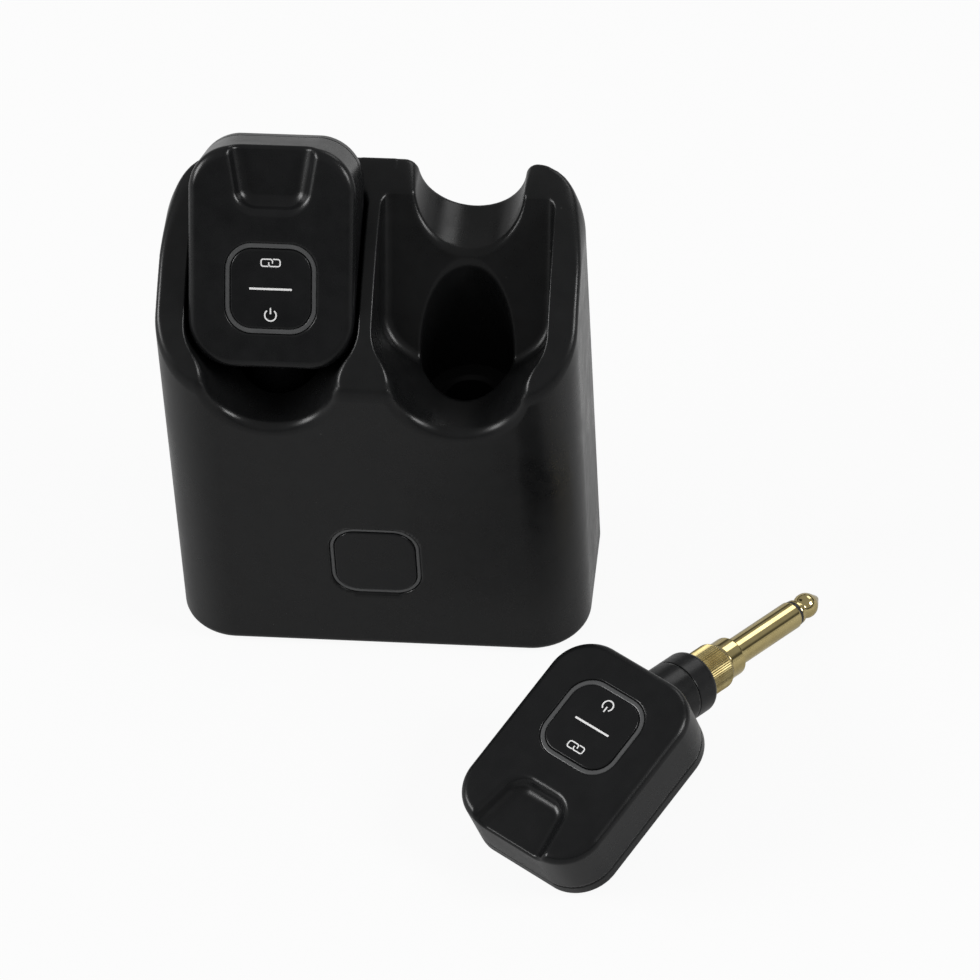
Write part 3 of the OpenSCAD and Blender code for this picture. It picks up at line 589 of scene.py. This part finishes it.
smoky, tree, shader, place = new_finish("smoky light guide", Specular_IOR_Level=0.5, IOR=1.58)
cloud = add_node(tree, "TexNoise", {"Vector": place, "Scale": 240.0, "Detail": 3.0}).outputs[0]
grains = add_node(tree, "TexNoise", {"Vector": place, "Scale": 5200.0, "Detail": 1.0})
follow_pattern(tree, shader, cloud, (0.044, 0.045, 0.046), (0.062, 0.063, 0.064), 0.24, 0.40)
raise_pattern(tree, shader, grains.outputs[0], 0.000004, 1.0)

button_plastic = satin_plastic(
    "satin black button", (0.0042, 0.0044, 0.0048), (0.0070, 0.0072, 0.0076), 0.29, 0.2,
    grain=0.1, smudge=0.1,
)
on_dock_front = Matrix.Translation((0, -0.02385, 0.0274)) @ Matrix.Rotation(
    math.radians(90), 4, "X"
)
make_piece(
    "dock_ring_guide", ring_skin(1, 2.2, 1.6), smoky, "dock",
    ("dock_light_ring",), on_dock_front, 40,
)
make_piece(
    "dock_button_plate", button_skin(1, 3.8, 1), button_plastic, "dock_button",
    ("dock_button",), on_dock_front, 40,
)

# --------------------------------------------------------------------------------------------------
# Charging sockets: a black nylon barrel at the foot of each bay's hole, with a plated sleeve
# contact round the plug and a plated leaf beside its ball. They show only as darkness at the
# bottom of the empty bay.

nylon, tree, shader, place = new_finish("black glass-filled nylon", Specular_IOR_Level=0.2)
fibres = add_node(
    tree, "TexNoise", {"Vector": place, "Scale": 700.0, "Detail": 5.0, "Distortion": 1.5}
).outputs[0]
follow_pattern(
    tree, shader, fibres, (0.0025, 0.0025, 0.0027), (0.0055, 0.0055, 0.0057), 0.5, 0.72
)
raise_pattern(tree, shader, fibres, 0.00002, 0.6)
dress(nylon, "left_charge_socket", "right_charge_socket")

plating = tooled_metal("plated contact", (0.70, 0.56, 0.28), (0.46, 0.35, 0.17), 0.28, 4.0)
for contact in ("sleeve_contact", "tip_spring"):
    dress(plating, "left_" + contact, "right_" + contact)

# --------------------------------------------------------------------------------------------------
# Electrics: green circuit boards with their traces, lithium cells in grey shrink film, push
# switches in steel cases with black plungers, and the drawn-steel charging inlet that shows in the
# dock's back wall. The two units hold the same kinds as the dock.

board, tree, shader, place = new_finish("green circuit board", Specular_IOR_Level=0.45)
pads = add_node(
    tree, "TexVoronoi", {"Vector": place, "Scale": 260.0}, distance="CHEBYCHEV", feature="F1"
)
trace = add_node(
    tree, "Math", {0: pads.outputs["Distance"], 1: 0.34}, operation="GREATER_THAN"
).outputs[0]
weave = add_node(tree, "TexNoise", {"Vector": place, "Scale": 2200.0, "Detail": 2.0}).outputs[0]
mask = blend_colours(tree, weave, (0.006, 0.060, 0.022, 1), (0.012, 0.090, 0.036, 1))
traced = blend_colours(tree, trace, mask, (0.03, 0.16, 0.06, 1))
satin = add_node(tree, "MapRange", {"Value": weave, "To Min": 0.3, "To Max": 0.5}).outputs[0]
tree.links.new(traced, shader["Base Color"])
tree.links.new(satin, shader["Roughness"])
raise_pattern(tree, shader, trace, 0.00003, 0.6)
dress(board, "dock_main_board", "dock_button_board", "transmitter_board", "receiver_board")

film, tree, shader, place = new_finish("grey shrink film", Specular_IOR_Level=0.5)
creases = add_node(
    tree, "TexNoise", {"Vector": place, "Scale": 120.0, "Detail": 5.0, "Distortion": 2.0}
).outputs[0]
follow_pattern(tree, shader, creases, (0.20, 0.21, 0.23), (0.34, 0.35, 0.37), 0.2, 0.45)
raise_pattern(tree, shader, creases, 0.0002, 0.5)
dress(film, "dock_cell", "transmitter_cell", "receiver_cell")

drawn_steel = tooled_metal("drawn steel", (0.44, 0.45, 0.47), (0.30, 0.31, 0.32), 0.28, 5.0)
dress(drawn_steel, "dock_usb_socket")
for holder in ("dock", "transmitter", "receiver"):
    dress(zinc_steel, holder + "_switch")
    dress(nylon, holder + "_switch_plunger")

# --------------------------------------------------------------------------------------------------
# Both units' housings: each a front shell with the finger recess and the button's opening, snapped
# on to a back cover that carries the fixed stub of the neck. Black ABS like the dock, with a
# hairline seam between the two.

unit_half_width, unit_half_length, unit_corner, unit_middle = 18, 24.2, 9.7, 21.65
unit_face, unit_seam, unit_wall = 16.6, 3.6, 1.6
unit_opening_middle = 15.15
recess_start, recess_length, recess_narrow, recess_wide, recess_floor = 31.85, 14, 7.6, 9.9, 13.8
plug_slope = math.radians(31)
stub_radius, stub_end, stub_start = 7.2, 8, -16


def unit_outline(x, y):
    """Distance to a unit's outline, negative inside."""
    return upright_wall(x, y - unit_middle, unit_half_width, unit_half_length, unit_corner)


def along_plug(x, y, z):
    """Distance from the plug's axis, and the place along it."""
    c, s = math.cos(plug_slope), math.sin(plug_slope)
    return np.hypot(x, s * y - c * z), -c * y - s * z


def finger_recess(x, y, z):
    """Below nought in the recess, which widens towards the unit's end and has sloping walls."""
    lean = math.atan2(recess_wide - recess_narrow, recess_length)
    from_start = y - recess_start
    side = (np.abs(x) - recess_narrow) * math.cos(lean) - from_start * math.sin(lean)
    deep = np.clip(unit_face - z, -1, 4)
    walls = rounded_edge(side, -from_start, 4.4) + 1.8 * deep / 2.8
    return rounded_edge(walls * 0.84, recess_floor - z, 1.3)


def front_moulding(x, y, z):
    """Below nought inside the plastic of a unit's front shell."""
    outline = unit_outline(x, y)
    outside = rounded_edge(outline, z - unit_face, 2)
    body = rounded_edge(outside, unit_seam - z, 0.25)
    recess = finger_recess(x, y, z)
    hollow = np.maximum(np.maximum(outline + unit_wall, z - 15), unit_wall - recess)
    body = rounded_edge(body, -recess, 0.8)
    body = np.maximum(body, -hollow)
    opening = upright_wall(
        x, y - unit_opening_middle, opening_half, opening_half, opening_corner
    )
    body = rounded_edge(body, -np.maximum(opening, 14 - z), 0.3)
    off_axis, along = along_plug(x, y, z)
    return rounded_edge(body, -np.maximum(off_axis - stub_radius - 0.05, -8 - along), 0.2)


def back_moulding(x, y, z):
    """Below nought inside the plastic of a unit's back cover, with its stub and the bore in it."""
    outline = unit_outline(x, y)
    outside = rounded_edge(outline, -z, 1.2)
    cover = rounded_edge(outside, z - unit_seam, 0.25)
    cover = np.maximum(cover, -np.maximum(outline + unit_wall, unit_wall - z))
    off_axis, along = along_plug(x, y, z)
    stub = rounded_edge(off_axis - stub_radius, along - stub_end, 0.12)
    stub = np.maximum(stub, np.minimum(z - unit_wall, y + 0.15))
    stub = np.maximum(stub, stub_start - along)
    cover = filleted(cover, stub, 0.5)
    cover = np.maximum(cover, -np.maximum(off_axis - 5.6, along + 0.1))
    return np.maximum(cover, -np.maximum(off_axis - 4.5, along - 9))


in_the_bay = Matrix.Translation((-0.0203, -0.00265, 0.0735)) @ Matrix.Rotation(
    math.radians(59), 4, "X"
)
table_lean = math.radians(18.6977)
on_the_table = (
    Matrix.Translation((0.05106, -0.06857, 0))
    @ Matrix.Rotation(math.radians(145), 4, "Z")
    @ Matrix.Translation((0, -0.02165 * math.cos(table_lean), 0.0143770))
    @ Matrix.Rotation(-table_lean, 4, "X")
)
both_units = (("transmitter", in_the_bay), ("receiver", on_the_table))

unit_plastic = satin_plastic(
    "satin black unit", (0.0040, 0.0042, 0.0045), (0.0070, 0.0072, 0.0076), 0.3, 0.21
)
front_skin = moulded_skin(
    front_moulding,
    steps(-18.4, (18.4, 0.38)),
    steps(-3.0, (46.3, 0.38)),
    steps(3.2, (12.6, 0.7), (17, 0.3)),
)
back_skin = moulded_skin(
    back_moulding,
    steps(-18.4, (18.4, 0.5)),
    steps(-11.5, (6, 0.5), (42, 1.2), (46.3, 0.5)),
    steps(-11, (4.2, 0.5), (9.6, 0.6)),
)
for unit, where in both_units:
    make_piece(
        unit + "_moulded_front", front_skin, unit_plastic, unit,
        (unit + "_front_shell",), where,
    )
    make_piece(
        unit + "_moulded_back", back_skin, unit_plastic, unit,
        (unit + "_back_cover",), where,
    )

# --------------------------------------------------------------------------------------------------
# Light rings and buttons of the two units, made as on the dock but with a wider ring. The marks on
# the buttons are white pad print: a chain link for pairing, a plain bar, and a power sign.

print_back, print_front = 0.004, 0.03


def printed_line(points, width):
    """A printed line of even width, a few hundredths of a millimetre thick."""
    p = np.array(points, float)
    ahead, behind = np.roll(p, -1, 0), np.roll(p, 1, 0)
    ahead[-1], behind[0] = p[-1], p[0]
    run = ahead - behind
    side = np.stack([-run[:, 1], run[:, 0]], 1) / np.linalg.norm(run, axis=1)[:, None] * width / 2
    levels = []
    for a, b in zip(p + side, p - side):
        level = [(*b, print_back), (*a, print_back), (*a, print_front), (*b, print_front)]
        levels.append(np.array(level))
    return skin_over(levels)


def bend(x, y, radius, start, end):
    """Points on an arc, from and to angles in degrees."""
    turn = np.radians(np.linspace(start, end, max(4, round(abs(end - start) / 12) + 1)))
    return [(x + radius * math.cos(a), y + radius * math.sin(a)) for a in turn]


link = (
    [(0.5, 0.78)] + bend(1.55, 0.28, 0.5, 90, 0) + bend(1.55, -0.28, 0.5, 0, -90)
    + bend(0.1, -0.28, 0.5, -90, -180) + [(-0.4, 0.12)]
)
sign_off = 5.75  # from the button's middle to either sign
marks = (
    ([(x, y + sign_off) for x, y in link], 0.28),
    ([(-x, -y + sign_off) for x, y in link], 0.28),
    ([(-4.6, 0), (4.6, 0)], 0.45),
    (bend(0, -sign_off, 1.24, 128, 412), 0.31),
    ([(0, -5.5), (0, -4.12)], 0.31),
)

ink, tree, shader, place = new_finish("white pad print", Specular_IOR_Level=0.3)
speckle = add_node(tree, "TexNoise", {"Vector": place, "Scale": 7000.0, "Detail": 2.0})
follow_pattern(
    tree, shader, speckle.outputs[0], (0.52, 0.52, 0.52), (0.82, 0.82, 0.81), 0.5, 0.7
)

for unit, where in both_units:
    face = where @ Matrix.Translation((0, 0.01515, 0.0166))
    make_piece(
        unit + "_ring_guide", ring_skin(1.2, 1.6, 1.6), smoky, unit,
        (unit + "_light_ring",), face, 40,
    )
    make_piece(
        unit + "_button_plate", button_skin(1.2, 3.2, 0.9), button_plastic, unit + "_button",
        (unit + "_button",), face, 40,
    )
    for number, (points, width) in enumerate(marks, 1):
        make_piece(
            f"{unit}_printed_mark_{number}", printed_line(points, width), ink,
            unit + "_button", place=face, sharp=30,
        )

# --------------------------------------------------------------------------------------------------
# Necks: the short tube between a unit and its plug. It turns on a spigot inside the back cover's
# stub, where a spring steel clip holds it; a hairline gap shows where the two meet. Black ABS, with
# a well-rounded outer end.

edge_step = 0.12  # a close pair of levels beside each edge keeps its roundness narrow


def turned(section, ridges=0, closed=True):
    """A skin turned round the plug's axis from (radius, place along, depth of ridges) steps."""
    count = ridges * 4 if ridges else 112
    a = np.arange(count) * 2 * math.pi / count
    dip = np.array([0, 0.5, 1, 0.5])[np.arange(count) % 4]
    held = [section[0]]
    for step in section[1:]:
        last = held[-1]
        long = math.dist(last[:2], step[:2])
        for share in (edge_step / long, 1 - edge_step / long) if long > 0.5 else ():
            held.append([(1 - share) * before + share * after for before, after in zip(last, step)])
        held.append(step)
    levels = []
    for radius, along, *cut in held:
        r = radius - (cut[0] if cut else 0) * dip
        levels.append(np.stack([r * np.cos(a), r * np.sin(a), np.full(count, float(along))], 1))
    return skin_over(levels, closed)


neck_section = (
    [(2.6, 9.6), (4.1, 9.6), (4.15, -1.7), (4.45, -1.4), (4.45, -1.05), (3.8, -1.05)]
    + [(3.8, -0.15), (4.45, -0.15), (4.45, 8.15), (7.08, 8.15), (7.16, 8.18), (7.2, 8.26)]
    + bend(5.7, 13, 1.5, 0, 90)
    + [(5.5, 14.5), (5.2, 14.5), (2.6, 14.5)]
)
to_plug = Matrix.Rotation(math.radians(121), 4, "X")
for unit, where in both_units:
    make_piece(
        unit + "_neck_tube", turned(neck_section), unit_plastic, unit + "_plug",
        (unit + "_swivel_neck",), where @ to_plug, 35,
    )
    dress(zinc_steel, unit + "_retaining_clip")

# --------------------------------------------------------------------------------------------------
# Plugs: 6.35 mm phone plugs, turned in brass and plated a pale gold. A straight-knurled collar, a
# smooth ring, the sleeve, a black insulator ring and the tip with its disc, waist, ball and rounded
# cone.

pale_gold = tooled_metal(
    "pale gold plate", (0.56, 0.465, 0.225), (0.45, 0.36, 0.155), 0.1, 5.0, 0.0003
)
knurled_gold = tooled_metal(
    "knurled gold plate", (0.49, 0.41, 0.20), (0.32, 0.25, 0.105), 0.22, 3.0, 0.002
)

collar_ridges = 66
collar_section = [
    (2.62, 14.5), (5.05, 14.5, 0), (5.3, 14.75, 0.12), (5.35, 15.1, 0.2), (5.35, 21.6, 0.2),
    (5.3, 21.85, 0.12), (5.16, 22.0, 0), (4.78, 22.6, 0), (4.7, 22.7, 0), (2.62, 22.7),
]
sleeve_section = [
    (2.12, 9.5), (2.57, 9.5), (2.57, 22.7), (4.1, 22.7), (4.3, 22.75), (4.46, 22.9), (4.5, 23.1),
    (4.5, 26.8), (4.46, 27.05), (4.3, 27.22), (4.1, 27.3), (3.35, 27.3), (3.2, 27.36),
    (3.175, 27.5), (3.175, 48.65), (3.13, 48.82), (3.0, 48.9), (2.12, 48.9),
]
insulator_section = [
    (1.12, 9.6), (2.1, 9.6), (2.1, 48.92), (2.86, 48.92), (2.925, 49.0), (2.925, 49.8),
    (2.86, 49.88), (1.12, 49.88),
]
ball_at, ball_radius, nose_at, nose_radius = 54.1, 2.85, 57.4, 0.9
cone = math.degrees(math.asin((ball_radius - nose_radius) / (nose_at - ball_at)))
tip_section = (
    [(1.1, 7.6), (1.1, 49.9), (2.65, 49.9), (2.8, 49.96), (2.85, 50.1), (2.85, 50.65)]
    + [(2.8, 50.8), (2.66, 50.92), (2.1, 51.3), (2.0, 51.45), (2.0, 51.95), (2.06, 52.1)]
    + [(r, s) for s, r in bend(ball_at, 0, ball_radius, 132, 90 - cone)]
    + [(r, s) for s, r in bend(nose_at, 0, nose_radius, 90 - cone, 3)]
)
black_insulator, tree, shader, place = new_finish("black insulator", Specular_IOR_Level=0.4)
turning = add_node(tree, "TexNoise", {"Vector": place, "Scale": 2600.0, "Detail": 2.0})
follow_pattern(
    tree, shader, turning.outputs[0], (0.004, 0.004, 0.004), (0.011, 0.010, 0.010), 0.3, 0.5
)

for unit, where in both_units:
    for piece, skin, finish, stands_for, slot in (
        ("collar", turned(collar_section, collar_ridges), knurled_gold, "knurled_collar", "gold"),
        ("sleeve", turned(sleeve_section), pale_gold, "plug_sleeve", "gold"),
        ("insulator_rings", turned(insulator_section), black_insulator, "insulator", "soft_black"),
        ("tip", turned(tip_section, closed=False), pale_gold, "plug_tip", "gold"),
    ):
        make_piece(
            f"{unit}_turned_{piece}", skin, finish, unit + "_plug",
            (f"{unit}_{stands_for}",), where @ to_plug, 32,
        )

# --------------------------------------------------------------------------------------------------
# Table and light: a plain white sheet under the set, a soft box on either side and a faint one
# behind, and a pale room that is brightest round the horizon.

table_half, table_level = 4, -0.00005  # just under the mat, so that the two don't flicker

sheet, tree, shader, place = new_finish("white sheet", Roughness=0.8, Specular_IOR_Level=0.2)
fibre = add_node(tree, "TexNoise", {"Vector": place, "Scale": 900.0, "Detail": 3.0}).outputs[0]
paper = blend_colours(tree, fibre, (0.50, 0.50, 0.50, 1), (0.54, 0.54, 0.54, 1))
tree.links.new(paper, shader["Base Color"])
ray = add_node(tree, "LightPath").outputs
mirrored = add_node(
    tree, "Math", {0: ray["Is Glossy Ray"], 1: ray["Is Transmission Ray"]}, operation="MAXIMUM"
).outputs[0]
faint = add_node(tree, "Math", {0: mirrored, 1: 0.15}, operation="MULTIPLY").outputs[0]
seen = add_node(tree, "Math", {0: faint, 1: ray["Is Camera Ray"]}, operation="MAXIMUM").outputs[0]
share = add_node(tree, "Math", {0: seen, 1: 0.93}, operation="MULTIPLY").outputs[0]
white = add_node(tree, "Emission", {"Color": (1, 1, 1, 1), "Strength": 1.0}).outputs[0]
lit = tree.nodes["Principled BSDF"].outputs[0]
both = add_node(tree, "MixShader", {0: share, 1: lit, 2: white}).outputs[0]
tree.links.new(both, tree.nodes["Material Output"].inputs["Surface"])
table_mesh = bpy.data.meshes.new("table")
table_corners = [
    (table_half * across, table_half * along, table_level)
    for across, along in ((-1, -1), (1, -1), (1, 1), (-1, 1))
]
table_mesh.from_pydata(table_corners, [], [(0, 1, 2, 3)])
table_mesh.materials.append(sheet)
table = bpy.data.objects.new("table", table_mesh)
bpy.context.scene.collection.objects.link(table)

room = bpy.data.worlds.new("white room")
bpy.context.scene.world = room
room.use_nodes = True
tree = room.node_tree
background = tree.nodes["Background"]
direction = add_node(tree, "TexCoord").outputs["Generated"]
rise = add_node(tree, "SeparateXYZ", {0: direction}).outputs[2]
glow = add_node(tree, "ValToRGB", {0: rise})
for number, (at_rise, value) in enumerate(((0.14, 0.62), (0.19, 0.1), (0.3, 0.1), (0.42, 0.42))):
    stops = glow.color_ramp.elements
    stop = stops[number] if number < 2 else stops.new(at_rise)
    stop.position, stop.color = at_rise, (value, value, value, 1)
ray = add_node(tree, "LightPath").outputs
seen = add_node(
    tree, "Math", {0: ray["Is Camera Ray"], 1: ray["Is Glossy Ray"]}, operation="MAXIMUM"
).outputs[0]
seen = add_node(
    tree, "Math", {0: seen, 1: ray["Is Transmission Ray"]}, operation="MAXIMUM"
).outputs[0]
strength = add_node(tree, "Mix", {0: seen, 2: 0.4, 3: glow.outputs[0]}, data_type="FLOAT")
background.inputs["Color"].default_value = (1, 1, 1, 1)
tree.links.new(strength.outputs[0], background.inputs["Strength"])


def soft_box(name, at, width, depth, power):
    """A soft box that faces the middle of the set."""
    lamp = bpy.data.lights.new(name, "AREA")
    lamp.shape, lamp.size, lamp.size_y, lamp.energy = "RECTANGLE", width, depth, power
    made = bpy.data.objects.new(name, lamp)
    bpy.context.scene.collection.objects.link(made)
    stand = Matrix.Translation(at)
    aim = stand.to_translation() - Matrix.Translation((0, 0, 0.05)).to_translation()
    made.matrix_world = stand @ aim.to_track_quat("Z", "Y").to_matrix().to_4x4()


soft_box("left", (-0.98, -0.2, 0.54), 0.62, 0.32, 11)
soft_box("right", (0.92, -0.17, 0.68), 0.4, 0.36, 8)
soft_box("behind right", (0.5, 0.82, 0.68), 0.5, 0.35, 1.6)

# The camera stands about 1.5 m off, a little to the right, and looks down at 45 degrees
lens = bpy.data.cameras.new("camera")
lens.sensor_width, lens.lens = 36, 238.7
camera = bpy.data.objects.new("camera", lens)
bpy.context.scene.collection.objects.link(camera)
camera.matrix_world = Matrix(
    (
        (0.99404, -0.03884, 0.10187, 0.16957),
        (0.09907, 0.71168, -0.69546, -1.00143),
        (-0.04547, 0.70141, 0.7113, 1.05121),
        (0, 0, 0, 1),
    )
)
bpy.context.scene.camera = camera
bpy.context.scene.view_settings.view_transform = "Standard"
